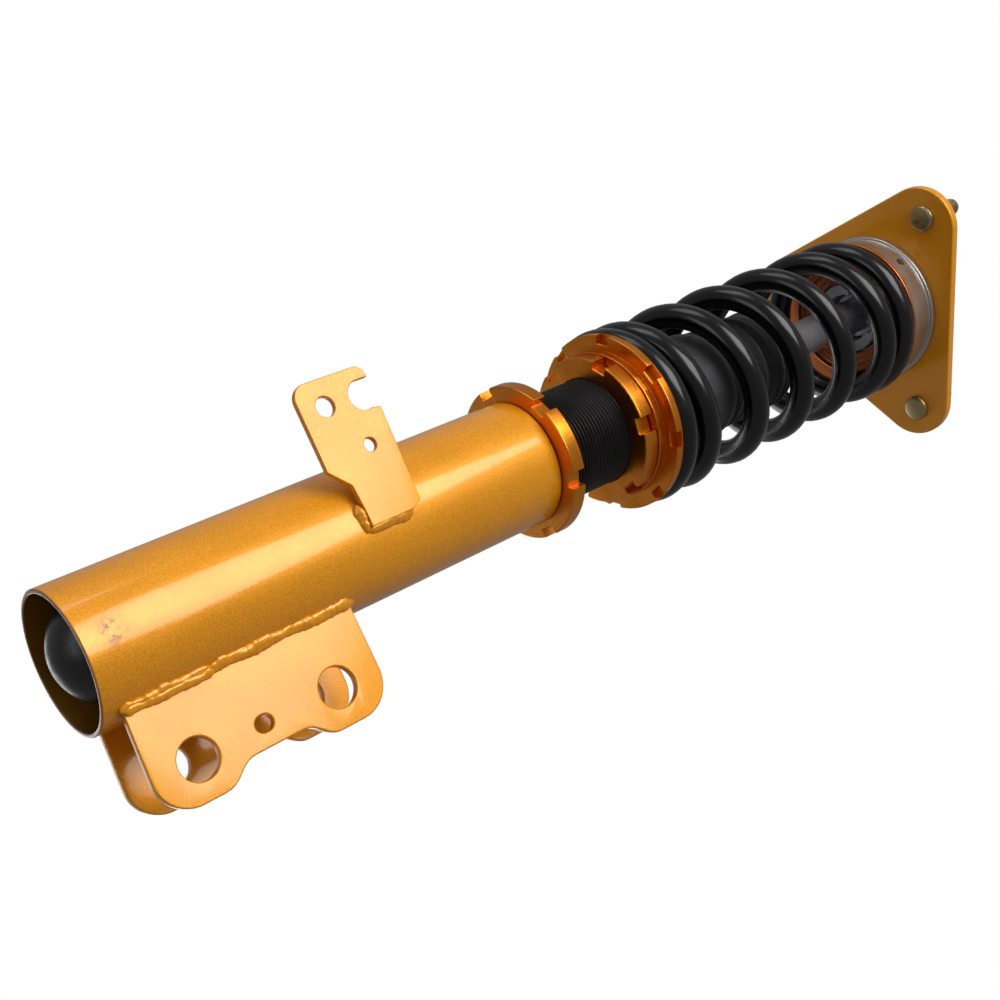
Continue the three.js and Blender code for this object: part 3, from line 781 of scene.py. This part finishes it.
def build_rings():
    """The two lock rings and the spring perch."""
    for node, body, first in (("lower_lock_ring", "tube_lock", -30),
                              ("perch_lock_ring", "perch_lock", 14)):
        low, high = span(node)
        outer = reach("spring_perch") - (7.5 if body == "tube_lock" else 8)

        def outline(radius):
            """A lock ring's section, out to `radius`."""
            return [(RING_BORE, low, 0.5), (radius, low, 0.9), (radius, high, 0.9),
                    (RING_BORE, high, 0.5)]

        notched(f"{node}_turned", outline(outer), outline(outer - 4), first, 6, 8, 4,
                "orange_anodised", body, [node])

    low, high = span("spring_perch")
    outer = reach("spring_perch")
    flange, top = low + 4.1, low + 8.4
    spigot, boss = 32.6, outer - 7.6

    def perch(radius, lip):
        """The perch's section, with its flange out to `radius` below `lip`."""
        return [(RING_BORE, low, 0.4), (boss, low, 0.5), (boss, flange, 0.2), (radius, flange, 0.6),
                (radius, lip), (outer, lip), (outer, top, 0.5), (spigot, top, 0.8),
                (spigot, high, 1.0), (RING_BORE, high, 0.4)]

    notched("spring_perch_turned", perch(outer - 0.05, top - 1.0), perch(outer - 4.5, top - 1.0),
            -16, 8, 7.6, 4.5, "orange_anodised", "perch", ["spring_perch"])


build_rings()


# ---------------------------------------------------------------- spring


SPRING_LOW, SPRING_HIGH = span("main_spring")
WIRE = 6.4
COIL = 39.7
FIRST, LAST = -120, 2280           # degrees round the axis where the wire starts and ends
LOW_JOIN, HIGH_JOIN = 333, 1894    # the closed end coils lie outside these
CLOSED_RISE, OPEN_RISE = 13.1, 37.9


def wire_height(degrees):
    """Height of the wire's middle above the bracket tube's open end."""
    start, end = 304.9, 494.4
    low_join = start + CLOSED_RISE * LOW_JOIN / 360
    high_join = low_join + OPEN_RISE * (HIGH_JOIN - LOW_JOIN) / 360
    if degrees < LOW_JOIN:
        return start + CLOSED_RISE * degrees / 360
    if degrees < HIGH_JOIN:
        return low_join + OPEN_RISE * (degrees - LOW_JOIN) / 360
    return high_join + (end - high_join) * (degrees - HIGH_JOIN) / 360


def spring_point(degrees):
    """Middle of the wire, with its changes of slope eased over 80 degrees."""
    height = sum(wire_height(degrees + d) for d in (-40, 0, 40)) / 3
    angle = math.radians(degrees)
    return Vector((COIL * math.cos(angle), COIL * math.sin(angle), MOUTH + height))


def build_spring():
    """One wire. Each point's share of the travel, from how far round the wire it lies, is not used."""
    step, sides = 6, 24
    angles = [FIRST + step * k for k in range((LAST - FIRST) // step + 1)]
    points, shares = [], []
    for degrees in angles:
        here = spring_point(degrees)
        along = (spring_point(degrees + 1) - spring_point(degrees - 1)).normalized()
        outward = Vector((here.x, here.y, 0)).normalized()
        up = along.cross(outward).normalized()
        outward = up.cross(along).normalized()
        share = 1 - min(max((degrees - LOW_JOIN) / (HIGH_JOIN - LOW_JOIN), 0), 1)
        inset = 0.5 if degrees in (FIRST, LAST) else 0
        for i in range(sides):
            angle = TAU * i / sides
            point = here + (outward * math.cos(angle) + up * math.sin(angle)) * (WIRE - inset)
            point.z = min(max(point.z, SPRING_LOW), SPRING_HIGH)
            points.append(point)
            shares.append(share)
    faces = ring_faces(len(angles), sides, False)
    faces.append(list(range(sides)))
    faces.append([(len(angles) - 1) * sides + i for i in range(sides)])
    spring = add_piece("main_spring_wire", points, faces, "black_spring", None, ["main_spring"],
                       sharp=42)
    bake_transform(spring)


build_spring()


# ---------------------------------------------------------------- damper


def build_damper():
    """The threaded tube, its domed base cap and the dust boot."""
    low, high = span("damper_tube")
    crest = reach("damper_tube")
    root, bore = crest - 1.1, 23
    thread_low, thread_high = low + 6, high - 4
    threaded("damper_tube_threaded",
             [(bore, low), (crest - 1.6, low), (crest - 0.9, low + 0.8), (root, thread_low - 1)],
             [(root, thread_high - 0.2), (crest - 0.6, high - 0.6), (crest - 1.2, high),
              (bore, high)],
             crest, root, 2.0, thread_low, thread_high, "black_thread", "damper",
             ["damper_tube"], count=96, hollow=True)

    low, high = span("base_cap")
    outer = reach("base_cap")
    dome_radius = 22.8
    dome = [(dome_radius * math.sin(math.radians(a)),
             low + dome_radius * (1 - math.cos(math.radians(a)))) for a in range(0, 91, 5)]
    collar = low + dome_radius + 0.5
    dome += [(outer - 0.2, collar, 0.3), (outer, collar + 0.8), (outer, high, 0.5), (0, high)]
    lathe_solid("base_cap_pressed", dome, "cap_grey", "damper", ["base_cap"], steps=5)

    low, high = span("dust_boot")
    ribs, pitch, inner, outer, first = 7, 6.8, 22.6, 26.9, 34
    outline = [(26.9, low), (28.0, low, 0.5), (28.6, low + 1.4, 0.8), (28.6, low + 26, 6),
               (27.4, low + 31.6, 4), (23.6, low + 32.8, 1.0)]
    for k in range(ribs):
        z = low + first + k * pitch
        outline += [(inner, z, 0.8), (outer - 0.25 * (k % 2), z + pitch * 0.42, 1.3),
                    (outer - 0.25 * (k % 2), z + pitch * 0.62, 1.3)]
    outline += [(inner, low + first + ribs * pitch, 0.6), (21.4, high - 0.9, 0.6),
                (11.4, high, 0.6), (10.8, high - 1.4)]
    outline += [(21.4, high - 3.4), (21.4, low + 29), (26.9, low + 24)]
    lathe("dust_boot_moulded", outline, "black_rubber", "damper", ["dust_boot"], count=96)


build_damper()


# ---------------------------------------------------------------- rod and seat


def build_rod():
    """The piston rod with its nut, and the upper spring seat."""
    low, high = span("piston_rod")
    tip = 6.9
    threaded("piston_rod_polished",
             [(6.4, low), (7, low + 1), (7, low + 19), (10, low + 19.5), (10, ROD_SHOULDER - 0.6),
              (9.5, ROD_SHOULDER), (tip, ROD_SHOULDER + 0.1), (tip, -5.2), (tip - 0.6, -4.8)],
             [(tip - 0.6, high - 1.4), (tip - 1.2, high - 0.3), (tip - 1.6, high)],
             tip, tip - 0.6, 1.5, -4.6, high - 1.3, "rod_chrome", "rod", ["piston_rod"], count=64)
    hexagon_nut("rod_nut_plated", 22, 7.02, *span("rod_nut"), (0, 0), 12, "yellow_zinc", "rod",
                ["rod_nut"])

    low, high = span("upper_spring_seat")
    outer = reach("upper_spring_seat")
    lathe("upper_spring_seat_turned", [
        (21.4, high, 0.3), (21.4, high - 2.0, 0.2), (24.4, high - 2.0, 0.4),
        (24.4, high - 4.0, 0.3), (27, high - 4.0, 0.4), (28.4, low, 0.5), (31.4, low, 0.8),
        (32.4, low + 1.2, 0.5), (32.4, high - 1.8, 0.4), (outer, high - 1.8, 0.5),
        (outer, high, 0.5)], "copper_anodised", "rod", ["upper_spring_seat"], count=128)


build_rod()


# ---------------------------------------------------------------- top mount


def build_mount():
    """The top plate with studs and nuts, and the bearing housing with what it holds."""
    corners = [(90, 1), (210, 2), (330, 3)]
    outline = []
    for degrees, _ in corners:
        angle = math.radians(degrees)
        outline += arc(58.5 * math.cos(angle), 58.5 * math.sin(angle), 22.5, degrees - 60,
                       degrees + 60, 20)
    plate("top_plate_painted", outline, [circle(0, 0, 21, 72)], PLATE_T, 0.9,
          lambda u, v, w: (u, v, w - PLATE_T), "gold_paint", "top_mount", ["top_plate"])

    for degrees, number in corners:
        x = STUD_CIRCLE * math.cos(math.radians(degrees))
        y = STUD_CIRCLE * math.sin(math.radians(degrees))
        low, high = span(f"top_stud_{number}")
        threaded(f"top_stud_{number}_plated",
                 [(5.6, low), (6.6, low + 0.35), (7.15, low + 1.0), (7.2, low + 2.3),
                  (6.9, -PLATE_T - 0.02), (5, -PLATE_T - 0.02), (STUD_THREAD, 0.1),
                  (4.2, 0.5)],
                 [(4.3, high - 0.8), (4.0, high - 0.2), (3.6, high)],
                 STUD_THREAD, 4.2, 1.5, 0.8, high - 0.7, "yellow_zinc", "top_mount",
                 [f"top_stud_{number}"], at=(x, y))
        hexagon_nut(f"stud_nut_{number}_plated", 16, 5.05, *span(f"stud_nut_{number}"), (x, y),
                    20 + 31 * number, "machined_steel", "top_mount", [f"stud_nut_{number}"])

    low, high = span("bearing_housing")
    outer = reach("bearing_housing")
    wall = outer - 1.8
    rim = high - 3.65
    body = lathe("bearing_housing_turned", [
        (20.2, low, 0.4), (wall, low, 0.7), (wall, rim, 0.6), (outer, rim, 1.0),
        (outer, high, 0.5), (17.5, high, 0.3), (17.5, high - 2.05), (20.2, high - 2.05)],
        "machined_steel", "top_mount", ["bearing_housing"], count=160)
    for number, degrees in enumerate(SCREW_ANGLES):
        turn = Matrix.Rotation(math.radians(degrees), 4, "Z")
        place = turn @ Matrix.Translation((38 * MM, 0, SCREW_HEIGHT * MM)) @ Matrix.Rotation(
            math.pi / 2, 4, "Y")
        drill = bmesh.new()
        bmesh.ops.create_cone(drill, cap_ends=True, segments=32, radius1=2.3 * MM,
                              radius2=2.5 * MM, depth=10 * MM, matrix=place)
        tool_mesh = bpy.data.meshes.new("drill")
        drill.to_mesh(tool_mesh)
        drill.free()
        tool_object = bpy.data.objects.new("drill", tool_mesh)
        bpy.context.scene.collection.objects.link(tool_object)
        boolean(body, tool_object)
        name = f"housing_screw_{number + 1}"
        points, faces = [], []
        sides = 30
        rows = [(0.1, 33), (2.15, 33), (2.15, 39.5), (1.8, 39.9), (1.25, 39.9), (1.2, 38.2),
                (0.1, 38.0)]
        for radius, x in rows:
            for i in range(sides):
                angle = TAU * i / sides
                six = 1.0
                if radius in (1.25, 1.2):
                    sixth = angle % (TAU / 6) - TAU / 12
                    six = math.cos(math.pi / 6) / math.cos(sixth)
                local = Vector((x, radius * six * math.cos(angle),
                                radius * six * math.sin(angle) + SCREW_HEIGHT))
                points.append(turn.to_3x3() @ local)
        faces = ring_faces(len(rows), sides, False)
        faces.append(list(range(sides)))
        faces.append([(len(rows) - 1) * sides + i for i in range(sides)])
        add_piece(f"{name}_socket", points, faces, "yellow_zinc", "top_mount", [name], sharp=30)

    low, high = span("bearing_retainer")
    notched("bearing_retainer_turned",
            [(14, low, 0.3), (20, low, 0.6), (20, high, 0.4), (14, high, 0.3)],
            [(17.2, low, 0.3), (20, low, 0.6), (20, high, 0.4), (17.2, high, 0.3)],
            45, 4, 5.6, 3.2, "zinc_grey", "top_mount", ["bearing_retainer"])

    middle = BEARING_HEIGHT
    ball = [(7.05, middle - BALL_HALF, 0.3)]
    ball += [(math.sqrt(BALL_R ** 2 - z * z), middle + z)
             for z in np.linspace(-BALL_HALF, BALL_HALF, 17)]
    ball += [(7.05, middle + BALL_HALF, 0.3)]
    lathe("bearing_ball_polished", ball, "rod_chrome", "rod", ["bearing_ball"])
    race = [(20, middle + RACE_HALF, 0.3)]
    race += [(math.sqrt((BALL_R + 0.15) ** 2 - z * z), middle + z)
             for z in np.linspace(RACE_HALF, -RACE_HALF, 13)]
    race += [(20, middle - RACE_HALF, 0.3)]
    lathe("bearing_race_ground", race, "machined_steel", "top_mount", ["bearing_race"])


build_mount()


# ---------------------------------------------------------------- stage


CAMERA_PLACE = Vector((0.51433, 0.01488, -0.68989))
CAMERA_RIGHT = Vector((0.5367, 0.4186, 0.7326))
CAMERA_UP = Vector((0.2511, -0.9082, 0.3350))
CAMERA_BACK = Vector((0.8055, 0.0042, -0.5925))
MIDDLE = Vector((0, 0, -0.26))
ROOM_LOW, ROOM_HIGH = 0.24, 0.34   # brightness of the room, low and high in the picture
FLOOR_SIZE, FLOOR_HEIGHT = 6.0, -0.80
FLOOR_GLOW = 0.72


def build_camera():
    """The camera, at the photo's viewing angle."""
    data = bpy.data.cameras.new("camera")
    data.sensor_width = 36
    data.lens = 49.93
    data.clip_start = 0.01
    camera = bpy.data.objects.new("camera", data)
    bpy.context.scene.collection.objects.link(camera)
    camera.matrix_world = Matrix((
        (CAMERA_RIGHT.x, CAMERA_UP.x, CAMERA_BACK.x, CAMERA_PLACE.x),
        (CAMERA_RIGHT.y, CAMERA_UP.y, CAMERA_BACK.y, CAMERA_PLACE.y),
        (CAMERA_RIGHT.z, CAMERA_UP.z, CAMERA_BACK.z, CAMERA_PLACE.z),
        (0, 0, 0, 1)))
    bpy.context.scene.camera = camera


def softbox(name, side, distance, long_side, short_side, power, along, gloss=1.0):
    """A large soft light aimed at the strut's middle. `side` says where it stands, as seen by
    the camera: (right, up, back). `along` is the direction of its long side, the same way."""
    data = bpy.data.lights.new(name, "AREA")
    data.shape = "RECTANGLE"
    data.size, data.size_y = long_side, short_side
    data.energy = power
    data.specular_factor = gloss

    def turned(v):
        """A direction as the camera sees it, in the row frame."""
        return (CAMERA_RIGHT * v[0] + CAMERA_UP * v[1] + CAMERA_BACK * v[2]).normalized()

    toward = turned(side)
    across = turned(along)
    across = (across - toward * across.dot(toward)).normalized()
    other = toward.cross(across)
    place = MIDDLE + toward * distance
    light = bpy.data.objects.new(name, data)
    light.matrix_world = Matrix((
        (across.x, other.x, toward.x, place.x),
        (across.y, other.y, toward.y, place.y),
        (across.z, other.z, toward.z, place.z),
        (0, 0, 0, 1)))
    light.visible_camera = False
    bpy.context.scene.collection.objects.link(light)


def build_floor():
    """A plain pale floor that glows faintly, so that it stays even all over. It casts no light
    on the strut and no reflection in it."""
    floor = bpy.data.meshes.new("floor")
    floor.from_pydata([(x * FLOOR_SIZE, y * FLOOR_SIZE, FLOOR_HEIGHT) for x, y in
                       ((-1, -1), (1, -1), (1, 1), (-1, 1))],
                      [], [(0, 1, 2, 3)])
    shader = Shader("floor")
    base = shader.mix(shader.noise(2.0), colour(96, 96, 96), colour(104, 104, 104))
    floor.materials.append(shader.finish(
        base, 0.9, shader.bump(shader.noise(60.0), 0.05, 0.0005), 0.0,
        Emission_Color=(1.0, 1.0, 1.0, 1.0), Emission_Strength=FLOOR_GLOW,
        Specular_IOR_Level=0.1))
    piece = bpy.data.objects.new("floor", floor)
    piece.visible_glossy = False
    piece.visible_diffuse = False
    bpy.context.scene.collection.objects.link(piece)


def build_world():
    """A dim studio round the strut, lighter towards the top of the picture, in front of a
    plain white backdrop."""
    world = bpy.data.worlds.new("studio")
    bpy.context.scene.world = world
    world.use_nodes = True
    tree = world.node_tree

    def add(kind, operation=None):
        """Adds a node to the world."""
        node = tree.nodes.new("ShaderNode" + kind)
        if operation:
            node.operation = operation
        return node

    place = add("TexCoord").outputs["Generated"]
    upward = add("VectorMath", "DOT_PRODUCT")
    tree.links.new(place, upward.inputs[0])
    upward.inputs[1].default_value = CAMERA_UP
    room = add("MapRange")
    tree.links.new(upward.outputs["Value"], room.inputs["Value"])
    for socket, number in (("From Min", -0.7), ("From Max", 0.9),
                           ("To Min", ROOM_LOW), ("To Max", ROOM_HIGH)):
        room.inputs[socket].default_value = number
    seen = add("LightPath").outputs["Is Camera Ray"]
    backdrop = add("Math", "MAXIMUM")
    tree.links.new(seen, backdrop.inputs[0])
    tree.links.new(room.outputs["Result"], backdrop.inputs[1])
    tree.links.new(backdrop.outputs[0], tree.nodes["Background"].inputs["Strength"])
    tree.nodes["Background"].inputs["Color"].default_value = (1, 1, 1, 1)


build_camera()
softbox("key", (0.572, 0.564, 0.596), 1.38, 1.06, 0.93, 18.8, (-0.06, 0.78, -0.62))
softbox("fill", (-0.35, 0.9, 0.25), 1.6, 1.0, 0.6, 5, (1, 0, 0))
softbox("front", (-0.72, 0.05, 0.7), 1.5, 0.9, 0.6, 3.2, (0, 1, 0), 0.7)
softbox("back", (-0.5, -0.35, -0.75), 1.7, 1.4, 0.9, 8, (1, 0, 0), 0.25)
build_floor()
build_world()
bpy.context.scene.view_settings.view_transform = "Standard"
bpy.context.scene.view_settings.look = "None"
